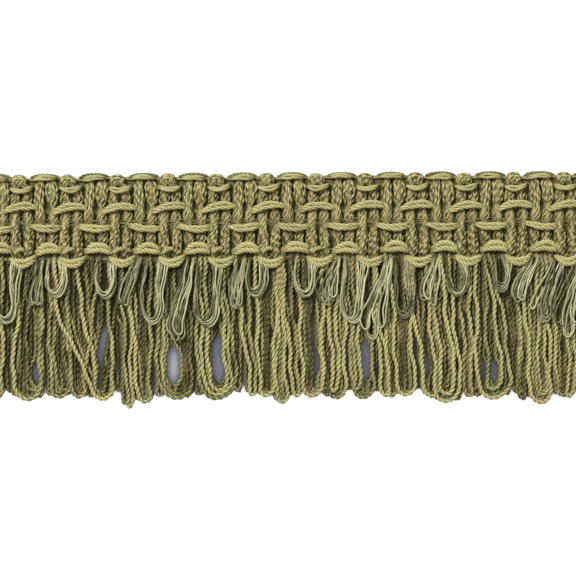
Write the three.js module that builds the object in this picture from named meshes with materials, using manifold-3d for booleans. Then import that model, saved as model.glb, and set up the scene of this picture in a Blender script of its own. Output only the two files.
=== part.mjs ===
// Loop fringe trim: a cut length of upholstery trimming that lies face up on a flat surface.
// +X runs along the trim, +Y points from the fringe to the heading's top edge and +Z points up.
// The origin is the middle of the heading's back. Sizes are in millimetres.
//
// It is woven in one pass of three things, and each is a solid here:
//   heading        six warps of paired cord, which float over bundles of weft
//   skirt          long loops of plied cord in two layers, fused into a strip at their roots
//   valance        short loops of smooth yarn over the skirt, in a zigzag of lengths, fused likewise
import * as THREE from "three";
import { mergeVertices } from "three/addons/utils/BufferGeometryUtils.js";
import Module from "manifold-3d";

const wasm = await Module();
wasm.setup();

// The weave. A pick is one bundle of weft, and four of them make a repeat.
const PICK_PITCH = 2.373;
const PICKS = 49;
const PICKS_PER_REPEAT = 4;
const REPEAT = PICK_PITCH * PICKS_PER_REPEAT;
const LENGTH = PICK_PITCH * PICKS;
const FIRST_KIND = 3; // the kind, 0 to 3, of the pick at the left end

// Heights above the surface that the trim lies on.
const VALLEY_Z = 1.3; // between two picks
const PICK_LOW_Z = 1.8; // a pick under a warp
const PICK_HIGH_Z = 2.7; // a pick over a warp
const HEADING_EDGE_Z = 1.6;

// The heading's warps, from the top edge down. y is the row's place. A float covers the picks of the kinds
// named, and its middle lies slip along from theirs. reach is half its length and thick its width. bow lifts
// its middle towards +Y, or lowers it where negative. crest is its highest point.
const WARPS = [
  { name: "a", y: 7.95, covers: [3, 0], slip: -0.15, reach: 2.1, thick: 1.3, bow: 0.45, crest: 2.9 },
  { name: "b", y: 6.1, covers: [1, 2], slip: -0.15, reach: 2.2, thick: 1.4, bow: -0.5, crest: 3.0 },
  { name: "c", y: 2.2, covers: [0, 1, 2], slip: 0.75, reach: 3.5, thick: 1.7, bow: 0.7, crest: 3.2 },
  { name: "d", y: -1.45, covers: [2, 3, 0], slip: 1.0, reach: 3.4, thick: 1.6, bow: -0.35, crest: 3.2 },
  { name: "e", y: -5.65, covers: [3, 0], slip: 0.4, reach: 2.6, thick: 2.1, bow: 0.5, crest: 3.4 },
  { name: "f", y: -7.85, covers: [1, 2], slip: 0.3, reach: 2.5, thick: 1.8, bow: -0.8, crest: 3.4 },
];
const TOP_EDGE_Y = 9.2; // where a weft bundle turns round the edge
const TOP_EDGE_DIP = 0.8; // how far the edge drops between two turns
const LOWER_EDGE_Y = -9.25; // under the middle of a float of warp f
const LOWER_EDGE_RISE = 2.35; // how much higher the edge is between two such floats

// The loops' roots.
const PART_GAP = 0.3; // between two solids
const STRIP_FOOT_Y = LOWER_EDGE_Y - 1.3;
const ROOT_Y = STRIP_FOOT_Y + 0.6; // where a loop starts, inside its strip
const SKIRT_STRIP_LOW_Z = 0.1;
const SKIRT_STRIP_Z = 2.1;

// The skirt's cord. Loops nest, a pitch apart, and the tightest has a half width of CORD_TIGHTEST.
const CORD = 0.95;
const CORD_PITCH = 1.03;
const CORD_TIGHTEST = 0.53;
const CORD_SECTION_RISE = 0.95; // the height of its three-sided section
const REAR_Z = CORD_SECTION_RISE / 2;
const FRONT_Z = REAR_Z + 1.13;
const REAR_SHORTER = 1.1; // the rear layer's tips are this much higher
const ROOTS_FOLLOW_TIPS = 0.5; // 0 spreads the front layer's roots evenly, and 1 sets each above its tip
const TURN_STEPS = 5;
const LOOP_STEPS = TURN_STEPS + 2;

// The front layer's bundles of nested loops, from the left end. width is what the bundle takes at its tip and
// drop how far the tip hangs below the heading. An open one can be seen through.
const SKIRT_BUNDLES = [
  { width: 4.2, drop: 24.9, loops: 2, open: false },
  { width: 6.0, drop: 25.7, loops: 2, open: false },
  { width: 8.8, drop: 25.3, loops: 4, open: false },
  { width: 5.2, drop: 25.7, loops: 2, open: true },
  { width: 2.1, drop: 24.2, loops: 1, open: false },
  { width: 2.5, drop: 26.9, loops: 1, open: false },
  { width: 3.5, drop: 26.1, loops: 1, open: false },
  { width: 8.3, drop: 25.3, loops: 3, open: true },
  { width: 8.7, drop: 25.7, loops: 3, open: true },
  { width: 2.1, drop: 24.6, loops: 1, open: false },
  { width: 2.1, drop: 25.1, loops: 1, open: false },
  { width: 2.1, drop: 24.7, loops: 1, open: false },
  { width: 3.4, drop: 26.5, loops: 1, open: false },
  { width: 2.6, drop: 25.5, loops: 1, open: false },
  { width: 3.2, drop: 25.9, loops: 1, open: true },
  { width: 4.2, drop: 26.1, loops: 2, open: false },
  { width: 6.1, drop: 25.7, loops: 2, open: true },
  { width: 2.7, drop: 25.3, loops: 1, open: false },
  { width: 5.8, drop: 25.3, loops: 2, open: false },
  { width: 3.1, drop: 25.1, loops: 1, open: true },
  { width: 4.8, drop: 26.3, loops: 2, open: false },
  { width: 2.7, drop: 25.3, loops: 1, open: false },
  { width: 6.0, drop: 25.7, loops: 2, open: true },
  { width: 2.1, drop: 25.5, loops: 1, open: false },
  { width: 2.1, drop: 25.9, loops: 1, open: false },
  { width: 4.8, drop: 26.7, loops: 2, open: false },
  { width: 4.4, drop: 25.5, loops: 2, open: false },
  { width: 2.8, drop: 25.7, loops: 1, open: false },
];

// The valance's loops, from the left end. root is the middle of a loop at the heading and open half its width
// there. tip is its middle at the foot, half is half its width there, and drop how far it hangs below the
// heading.
const VALANCE_LOOPS = [
  { root: -53.5, open: 2.7, tip: -53.9, half: 2.1, drop: 10.5 },
  { root: -47.4, open: 0.8, tip: -48.7, half: 1.5, drop: 8.4 },
  { root: -44.1, open: 1.9, tip: -44.3, half: 1.9, drop: 5.5 },
  { root: -34.5, open: 2.1, tip: -34.9, half: 2.1, drop: 5.9 },
  { root: -28.7, open: 0.6, tip: -31.2, half: 1.2, drop: 7.6 },
  { root: -24.9, open: 2.2, tip: -26.0, half: 2.1, drop: 10.7 },
  { root: -18.5, open: 0.8, tip: -21.6, half: 1.9, drop: 14.7 },
  { root: -15.0, open: 2.5, tip: -15.4, half: 2.3, drop: 11.3 },
  { root: -9.0, open: 0.9, tip: -10.0, half: 1.3, drop: 8.2 },
  { root: -5.5, open: 2.0, tip: -6.0, half: 1.9, drop: 5.7 },
  { root: 3.7, open: 2.3, tip: 3.3, half: 2.1, drop: 5.7 },
  { root: 9.5, open: 0.7, tip: 7.3, half: 1.7, drop: 8.2 },
  { root: 13.1, open: 2.3, tip: 12.3, half: 2.1, drop: 10.7 },
  { root: 19.5, open: 0.8, tip: 16.2, half: 2.3, drop: 14.3 },
  { root: 22.5, open: 2.1, tip: 22.3, half: 1.7, drop: 9.9 },
  { root: 28.6, open: 0.7, tip: 27.3, half: 1.7, drop: 8.2 },
  { root: 32.2, open: 2.1, tip: 32.5, half: 2.1, drop: 5.7 },
  { root: 41.2, open: 1.7, tip: 41.0, half: 1.5, drop: 4.9 },
  { root: 47.6, open: 0.8, tip: 44.3, half: 1.9, drop: 7.8 },
  { root: 51.6, open: 1.7, tip: 48.5, half: 1.7, drop: 11.1 },
  { root: 55.7, open: 0.8, tip: 53.2, half: 2.3, drop: 14.3 },
];
const VALANCE_STRAND = 0.55;
const VALANCE_INSET = 0.9; // from a loop's outer strand to its inner one
const VALANCE_LEAST_HALF = 0.6; // the tightest inner strand
const VALANCE_Z = SKIRT_STRIP_Z + PART_GAP;
const VALANCE_STRIP_RISE = 0.75;

const lerp = THREE.MathUtils.lerp;

// A closed three.js geometry as a manifold-3d solid.
function solidOf(geometry) {
  const bare = geometry.index ? geometry.toNonIndexed() : geometry.clone();
  bare.deleteAttribute("normal");
  bare.deleteAttribute("uv");
  const merged = mergeVertices(bare, 1e-4);
  return new wasm.Manifold(
    new wasm.Mesh({
      numProp: 3,
      vertProperties: new Float32Array(merged.attributes.position.array),
      triVerts: new Uint32Array(merged.index.array),
    }),
  );
}

function geometryOf(solid) {
  const mesh = solid.getMesh();
  return new THREE.BufferGeometry()
    .setAttribute("position", new THREE.BufferAttribute(mesh.vertProperties, 3))
    .setIndex(new THREE.BufferAttribute(mesh.triVerts, 1));
}

function pieceOf(name, solid, color, roughness) {
  const material = new THREE.MeshStandardMaterial({ color, roughness, metalness: 0 });
  const piece = new THREE.Mesh(geometryOf(solid), material);
  piece.name = name;
  return piece;
}

function pickX(pick) {
  return (pick - (PICKS - 1) / 2) * PICK_PITCH;
}

function kindOf(pick) {
  return (pick + FIRST_KIND) % PICKS_PER_REPEAT;
}

// The middle of the float of a warp that is nearest to x.
function floatMiddle(warp, x) {
  const kinds = warp.covers.map((kind) => (kind < warp.covers[0] ? kind + PICKS_PER_REPEAT : kind));
  const middleKind = (kinds[0] + kinds[kinds.length - 1]) / 2;
  const first = pickX(middleKind - FIRST_KIND) + warp.slip;
  return first + Math.round((x - first) / REPEAT) * REPEAT;
}

// How far x is along the nearest float, from -1 to 1, and past those where it lies off the float.
function alongFloat(warp, x) {
  return (x - floatMiddle(warp, x)) / warp.reach;
}

function warpY(warp, x) {
  const along = Math.min(1, Math.abs(alongFloat(warp, x)));
  return warp.y + warp.bow * (1 - along * along) - warp.bow / 2;
}

// The height of a pick's crest where it crosses y, from whether each warp covers it.
function pickCrest(pick, y) {
  const kind = kindOf(pick);
  const heights = WARPS.map((warp) => (warp.covers.includes(kind) ? PICK_LOW_Z : PICK_HIGH_Z));
  if (y >= WARPS[0].y) return heights[0];
  const below = WARPS.findIndex((warp) => warp.y < y);
  if (below < 0) return heights[heights.length - 1];
  const above = WARPS[below - 1];
  const share = (above.y - y) / (above.y - WARPS[below].y);
  return lerp(heights[below - 1], heights[below], share);
}

function reliefZ(x, y) {
  const pick = THREE.MathUtils.clamp(Math.round(x / PICK_PITCH + (PICKS - 1) / 2), 0, PICKS - 1);
  const across = Math.cos((Math.PI * (x - pickX(pick))) / PICK_PITCH);
  let z = lerp(VALLEY_Z, pickCrest(pick, y), across * across);
  for (const warp of WARPS) {
    const along = alongFloat(warp, x);
    const offLine = (y - warpY(warp, x)) / (warp.thick / 2);
    if (Math.abs(along) >= 1 || Math.abs(offLine) >= 1) continue;
    const round = Math.sqrt(1 - offLine * offLine);
    z = Math.max(z, lerp(VALLEY_Z, warp.crest, round * (1 - along ** 4)));
  }
  return z;
}

function topEdgeY(x) {
  const turn = Math.cos((Math.PI * (x - floatMiddle(WARPS[0], x))) / (PICK_PITCH * 2));
  return TOP_EDGE_Y - TOP_EDGE_DIP * (1 - turn * turn);
}

function lowerEdgeY(x) {
  const along = Math.min(1, Math.abs(alongFloat(WARPS[5], x)));
  return LOWER_EDGE_Y + LOWER_EDGE_RISE * along * along;
}

// The lines of the heading's relief that run along it: the edges, each warp's crest and flanks, and the
// troughs between warps that lie apart. A line is a function from x to y.
function reliefLines() {
  const lines = [lowerEdgeY];
  const flank = 0.46;
  const sparse = 3.0; // warps further apart than this have a trough between them
  for (let row = WARPS.length - 1; row >= 0; row--) {
    const warp = WARPS[row];
    const above = WARPS[row - 1];
    if (row < WARPS.length - 1) lines.push((x) => warpY(warp, x) - flank * warp.thick);
    lines.push((x) => warpY(warp, x));
    const isNearNext = above && above.y - warp.y < sparse;
    if (!isNearNext) lines.push((x) => warpY(warp, x) + flank * warp.thick);
    if (above && !isNearNext) lines.push((x) => (warpY(warp, x) + warpY(above, x)) / 2);
  }
  lines.push(topEdgeY);
  return lines;
}

// A box whose upper face is raised into floats and picks, point by point, and whose back is then cut flat.
function heading() {
  const lines = reliefLines();
  const columns = PICKS * 2;
  const rows = lines.length - 1;
  const box = new THREE.BoxGeometry(columns, rows, 2, columns, rows, 1);
  const position = box.attributes.position;
  const clear = 0.12; // the least step from one line to the next
  for (let i = 0; i < position.count; i++) {
    const x = position.getX(i) * (PICK_PITCH / 2);
    const row = Math.round(position.getY(i) + rows / 2);
    const isTop = position.getZ(i) > 0;
    const floor = lowerEdgeY(x) + row * clear;
    const ceiling = topEdgeY(x) - (rows - row) * clear;
    const y = Math.min(Math.max(lines[row](x), floor), ceiling);
    const isEdge = row === 0 || row === rows;
    const upperZ = isEdge ? HEADING_EDGE_Z : reliefZ(x, y);
    position.setXYZ(i, x, y, isTop ? upperZ : -1);
  }
  const under = new THREE.BoxGeometry(LENGTH * 2, LENGTH, 4);
  under.translate(0, 0, -2);
  return solidOf(box).subtract(solidOf(under));
}

// The strip that a set of loops is fused into. Its upper edge follows the heading's lower one, a gap away.
function rootStrip(low, high) {
  const outline = new THREE.Shape();
  outline.moveTo(LENGTH / 2, STRIP_FOOT_Y);
  for (let step = PICKS * 2; step >= 0; step--) {
    const x = (step - PICKS) * (PICK_PITCH / 2);
    outline.lineTo(x, lowerEdgeY(x) - PART_GAP);
  }
  outline.lineTo(-LENGTH / 2, STRIP_FOOT_Y);
  const geometry = new THREE.ExtrudeGeometry(outline, { depth: high - low, bevelEnabled: false });
  geometry.translate(0, 0, low);
  return solidOf(geometry);
}

// One loop, lying level: down from its left root, round its tip and up to its right root.
class LoopPath extends THREE.Curve {
  constructor(rootLeft, rootRight, tipX, tipY, halfWidth, z) {
    super();
    const turnY = tipY + halfWidth * 1.25;
    Object.assign(this, { rootLeft, rootRight, tipX, tipY, turnY, halfWidth, z });
  }

  getPoint(t, target = new THREE.Vector3()) {
    const step = t * LOOP_STEPS;
    const angle = Math.PI * (1 + THREE.MathUtils.clamp((step - 1) / TURN_STEPS, 0, 1));
    const x = this.tipX + this.halfWidth * Math.cos(angle);
    const y = this.turnY + (this.turnY - this.tipY) * Math.sin(angle);
    const upLeg = Math.max(1 - step, step - 1 - TURN_STEPS, 0);
    const rootX = step < 1 ? this.rootLeft : this.rootRight;
    return target.set(lerp(x, rootX, upLeg), lerp(y, ROOT_Y, upLeg), this.z);
  }

  // A leg is one step and the turn is several, so the steps aren't spaced by length.
  getPointAt(t, target) {
    return this.getPoint(t, target);
  }

  getTangentAt(t, target) {
    return this.getTangent(t, target);
  }
}

// A strand of three sides along a level path, with its flat side down.
function strand(path, width, rise) {
  const section = new THREE.Shape([
    new THREE.Vector2(rise / 2, -width / 2),
    new THREE.Vector2(rise / 2, width / 2),
    new THREE.Vector2(-rise / 2, 0),
  ]);
  const sweep = { steps: LOOP_STEPS, extrudePath: path, bevelEnabled: false };
  return solidOf(new THREE.ExtrudeGeometry(section, sweep));
}

// How many loops nest in a bundle of this width.
function loopsIn(width) {
  return Math.floor((width / 2 - CORD_PITCH / 2 - CORD_TIGHTEST) / CORD_PITCH) + 1;
}

function frontBundles() {
  let left = -LENGTH / 2;
  return SKIRT_BUNDLES.map((row) => {
    const bundle = { ...row, left, right: left + row.width };
    left += row.width;
    return bundle;
  });
}

// The rear layer: an open bundle lies behind its like, and the others lie behind the joins of the front ones.
function rearBundles(front) {
  const least = 2.4; // the narrowest bundle
  const joins = [];
  front.forEach(({ left, right, open }) => {
    if (open) joins.push(left, right);
    else joins.push((left + right) / 2);
  });
  const kept = [-LENGTH / 2];
  for (const join of joins) {
    const isClear = join - kept[kept.length - 1] >= least && LENGTH / 2 - join >= least;
    if (isClear) kept.push(join);
  }
  kept.push(LENGTH / 2);
  return kept.slice(1).map((right, i) => {
    const left = kept[i];
    const over = front.find((bundle) => bundle.right > (left + right) / 2);
    const loops = over.open ? over.loops : loopsIn(right - left);
    return { left, right, drop: over.drop - REAR_SHORTER, loops };
  });
}

// The paths of one layer's loops. Roots are spread evenly along the layer, or drawn towards their own tips.
function layerPaths(bundles, z, followTips) {
  const legs = bundles.reduce((sum, bundle) => sum + bundle.loops * 2, 0);
  const rootPitch = LENGTH / legs;
  const paths = [];
  let firstLeg = 0;
  for (const { left, right, drop, loops } of bundles) {
    const lastLeg = firstLeg + loops * 2;
    const evenLeft = -LENGTH / 2 + firstLeg * rootPitch;
    const rootLeft = lerp(evenLeft, left, followTips);
    const rootRight = lerp(evenLeft + loops * 2 * rootPitch, right, followTips);
    const legPitch = (rootRight - rootLeft) / (loops * 2);
    for (let nest = 0; nest < loops; nest++) {
      const inset = nest * CORD_PITCH;
      paths.push(
        new LoopPath(
          rootLeft + (nest + 0.5) * legPitch,
          rootRight - (nest + 0.5) * legPitch,
          (left + right) / 2,
          LOWER_EDGE_Y - drop + CORD / 2 + inset,
          (right - left) / 2 - CORD_PITCH / 2 - inset,
          z,
        ),
      );
    }
    firstLeg = lastLeg;
  }
  return paths;
}

function skirt() {
  const front = frontBundles();
  const paths = [
    ...layerPaths(rearBundles(front), REAR_Z, 0),
    ...layerPaths(front, FRONT_Z, ROOTS_FOLLOW_TIPS),
  ];
  const loops = paths.map((path) => strand(path, CORD, CORD_SECTION_RISE));
  return loops.reduce((whole, loop) => whole.add(loop), rootStrip(SKIRT_STRIP_LOW_Z, SKIRT_STRIP_Z));
}

function valancePaths() {
  const z = VALANCE_Z + VALANCE_STRAND / 2;
  const paths = [];
  for (const { root, open, tip, half, drop } of VALANCE_LOOPS) {
    const tipY = LOWER_EDGE_Y - drop;
    paths.push(new LoopPath(root - open, root + open, tip, tipY, half, z));
    const innerHalf = half - VALANCE_INSET;
    if (innerHalf < VALANCE_LEAST_HALF) continue;
    const innerOpen = open * (innerHalf / half);
    paths.push(new LoopPath(root - innerOpen, root + innerOpen, tip, tipY + VALANCE_INSET, innerHalf, z));
  }
  return paths;
}

function valance() {
  const loops = valancePaths().map((path) => strand(path, VALANCE_STRAND, VALANCE_STRAND));
  const strip = rootStrip(VALANCE_Z, VALANCE_Z + VALANCE_STRIP_RISE);
  return loops.reduce((whole, loop) => whole.add(loop), strip);
}

const trim = new THREE.Group();
trim.add(
  pieceOf("heading", heading(), 0x9c9663, 0.85),
  pieceOf("skirt_loops", skirt(), 0x8a8357, 0.75),
  pieceOf("valance_loops", valance(), 0x97926a, 0.45),
);

export default trim;
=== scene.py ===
# Loop fringe trim: the woven heading, the skirt of twisted cord loops and the valance of smooth loops.
# Sizes in the tables are in millimetres, and MM turns them into metres when a mesh is made.
import math

import bpy
import numpy as np
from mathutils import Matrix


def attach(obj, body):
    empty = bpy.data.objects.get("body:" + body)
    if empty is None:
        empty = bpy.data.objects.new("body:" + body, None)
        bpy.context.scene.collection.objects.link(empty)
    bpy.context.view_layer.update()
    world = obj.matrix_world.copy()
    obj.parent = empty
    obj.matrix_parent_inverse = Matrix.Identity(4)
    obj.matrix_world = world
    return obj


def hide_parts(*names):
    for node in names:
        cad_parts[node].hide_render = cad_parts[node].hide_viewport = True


MM = 0.001
SEED = 7
rng = np.random.default_rng(SEED)

# The weave, as in the solids. A pick is one bundle of weft, and four of them make a repeat.
PICK_PITCH = 2.373
PICKS = 49
REPEAT = PICK_PITCH * 4
LENGTH = PICK_PITCH * PICKS
LEFT = -LENGTH / 2
FIRST_KIND = 3

# Warps from the top edge down: place, picks covered, slip along, half length, bow, rise from left to right,
# crest height, cord diameter, the gap between the two cords' middles, the height where it runs under picks,
# how far, from 0 to 1, a pick that passes over it is drawn in, and a turn of its plies in cord diameters.
WARP_COLUMNS = ("y", "covers", "slip", "reach", "bow", "rise", "crest", "cord", "apart", "low", "nip", "turn")
WARPS = [
    dict(zip(WARP_COLUMNS, row))
    for row in (
        (8.05, (3, 0), -0.3, 2.05, 0.2, 0.0, 3.1, 0.62, 0.46, 1.0, 0.6, 2.7),
        (6.1, (1, 2), -0.1, 2.15, -0.65, 0.1, 3.0, 0.64, 0.5, 0.5, 0.1, 3.0),
        (2.25, (0, 1, 2), 1.05, 3.5, 0.85, 0.35, 3.2, 0.86, 0.72, 0.5, 0.6, 3.8),
        (-1.4, (2, 3, 0), 1.2, 3.15, -0.5, -0.1, 3.2, 0.86, 0.68, 0.5, 0.6, 3.8),
        (-5.65, (3, 0), 0.55, 2.3, 0.8, 0.0, 3.4, 1.2, 1.08, 1.0, 0.1, 2.0),
        (-7.85, (1, 2), 0.3, 2.4, -1.15, 0.0, 3.4, 1.05, 0.86, 0.7, 0.4, 2.3),
    )
]
WARP_STEP = 0.1  # between the points of a warp's line, and between those of its plies
WARP_POINTS = 0.27
# how much painted shade falls between a warp cord's plies
WARP_GROOVE_SHADE = 0.6
FLOAT_STRAY = 0.2  # how far a float may lie off its row
FLOAT_SAGS = 0.75  # how much lower a float's ends are than its middle
DIVE_FROM = 0.8  # in half lengths along a float: where the warp goes down, and over how much
DIVE_LENGTH = 0.36
PINCH_FROM = 0.3  # likewise, where its two cords draw together and get thinner
PINCH_LENGTH = 0.8
PINCH_CLOSER = 0.6
PINCH_THINNER = 0.28
WARP_WANDERS = (0.07, 0.05)  # how far each of its cords wanders, in two waves
WARP_LAPS = 0.1
WARP_TONE = 0.93
UPPER_CORD_TONE = 0.06
FLOAT_TONES = 0.08
WARP_PLIES = 3
END_REACH = 1.3  # over this length the threads go down to the trim's cut ends
TOP_TURN_Y = 7.9  # the picks' upper end, where their strands turn round
LOWER_EDGE_Y = -9.25

# The height of a pick's middle where a warp covers it and where it covers the warp, and its width where it is
# drawn in and where it isn't.
PICK_LOW_Z = 1.05
PICK_HIGH_Z = 1.85
PICK_NARROW = 1.5
PICK_NARROW_TOP = 1.1  # of picks 0 and 3, in the upper part
PICK_WIDTHS = {0: 2.6, 1: 2.25, 2: 2.25, 3: 2.1}  # by kind, in the upper part
PICK_WIDTH_LOWER = 2.25
PICK_HALF_HEIGHT = (0.8, 0.55)  # where it is free, and where it is drawn in
PICK_STEP = 0.3
UPPER_Y = 1.0  # the upper part starts there, and takes this length to do so
UPPER_LENGTH = 2
WARP_NIP_REACH = 1.1
PICK_FEET = {0: -6.3, 1: -8.1, 2: -8.1, 3: -6.3}  # a pick's lower end, under one of the two lowest warps
PICK_TURNS_TOP = {0: 30.0, 1: 8.0, 2: 16.0, 3: 60.0}  # one turn of its strands round it, above TURNS_CHANGE_Y
PICK_TURNS = {0: 9.0, 1: 8.0, 2: 9.0, 3: 9.0}  # and below it
TURNS_CHANGE_Y = 2.0
PICK_SWAYS = {0: 0.16, 1: 0.16, 2: 0.2, 3: 0.1}  # how far its strands wander round it
SWAY_NIPPED = 0.7  # less where it is drawn in
SWAY_ASIDE = 0.5
PICK_STRAY = 0.14
PICK_SWELLS = 0.06
LEAN_FROM_Y = 6.0  # above this the picks of a pair lean together
LEAN_LENGTH = 1.1
PAIR_LEAN = 0.15
KNOB_LEAN = 0.58  # of picks 1 and 2, whose top is a knob
KNOB_SHIFT = -0.55  # of both alike

# The threads of a pick: its strands, whose beads swell and shrink along them, and the core inside them.
STRANDS = 8
STRAND = 0.47
STRAND_STEP = 0.27
STRAND_BEADS = {0: 0.95, 1: 1.4, 2: 1.15, 3: 1.5}  # from one thick place of a strand to the next
BEAD_SWELLS = 0.2
# painted highlight: a strand is painted brighter where its beads swell and darker where they shrink
BEAD_PAINTED_HIGHLIGHT = 0.42
SOFT_Y = 0.5  # the strands are smoother about here
SOFT_REACH = 1.7
SOFTENED = 0.8
# painted shade between a pick's strands
GROOVE_SHADES = (0.8, 0.3)  # how dark it gets between strands, and where they are softest
CORE_INSET = 0.28
CORE_FLAT = 0.75
CORE_TONE = 0.3
STRAND_TONE = 0.66
STRAND_TONE_SPREAD = 0.2
KIND_TONES = {0: 0.13, 1: 0.0, 2: -0.04, 3: -0.06}
LOWER_DARKER = 0.2  # of the picks below the upper part
# Painted shade: a strand is painted darker beside its pick than on top.
SIDE_PAINTED_SHADE = 0.4  # how much darker a strand is beside its pick than on top
SIDE_SHADE_LEVEL = 0.6  # how far up its pick, from -1 to 1, it has its own tone

# Where the strands turn round the top edge, from pick 1 to 2 in a knob and from pick 3 to 0 flat: how far
# they bulge out and rise, and their tone.
KNOB_BULGE = 0.3
KNOB_RISE = 0.3
KNOB_TONE = 0.25
KNOB_TONE_SPREAD = 0.45
FLAT_BULGE = 0.12
FLAT_RISE = -0.2
FLAT_TONE = -0.1
BULGE_SPREAD = 0.28
LEAST_BULGE = 0.2
TURN_SPAN = (0.08, 0.92)  # of its points, in half turns
TURN_POINTS = 9
TURN_ROUNDNESS = 0.6  # the power of its sine

# The weft's arcs along the top edge.
EDGE_ARCS = ((2.3, 8.55), (2.65, 8.8), (2.95, 8.72))  # half width, and height in y
EDGE_SHIFT = -0.25
EDGE_FOOT_Y = 7.4
EDGE_FOOT_Z = 0.7
EDGE_Z = 1.7
EDGE_LOWER = 0.25  # how much lower each arc lies than the one before
EDGE_YARN = 0.6
EDGE_TURN = 1.5
EDGE_SPAN = (0.04, 0.96)
EDGE_POINTS = 13
EDGE_ROUNDNESS = (0.45, 0.5)  # in y and in z
EDGE_STRAY = 0.06
EDGE_TONES = (0.15, 0.5)
EDGE_STEP = 0.3

# The small coils above the floats of the lowest warp.
KNOT_OFF = -0.75
KNOT_Y = -5.65
KNOT_Z = 2.95
KNOT_HALF = 0.8
KNOT_YARN = 0.95
KNOT_CLEAR = 1.2  # from the trim's ends
KNOTS_EACH_WAY = 7  # of the middle one, where clear of the ends
KNOT_POINTS = 9
KNOT_SLANT = 0.3
KNOT_BOW = 0.25
KNOT_ARCH = 0.5
KNOT_TONE = 0.9
KNOT_STEP = 0.13
# how much painted shade falls between a knot's plies
KNOT_GROOVE_SHADE = 0.9

# The fine binder threads that cross the picks.
BINDER_Y = -0.45
BINDER_THREADS = (-0.3, 0.05, 0.42)  # how far each lies off that place
BINDER_THREAD = 0.24
BINDER_POINTS = 387
BINDER_OVER = 0.5  # a binder thread's height over a pick's middle
BINDER_LOW_Z = 1.1
BINDER_TONE = 0.45
BINDER_NIP = 0.75  # how far they draw a pick in
BINDER_NIP_REACH = 0.55
BINDER_ROUNDNESS = 0.6
BINDER_WANDERS = (0.1, 0.06)

# The ground cloth.
GROUND_CELLS = (147, 23)
GROUND_FOOT_Y = -8.3
GROUND_Z = 0.6
GROUND_RIPPLE = 0.12
GROUND_THICK = 0.3
GROUND_THREADS = (14000.0, 9000.0)  # radians a metre, in y and in x

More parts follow.
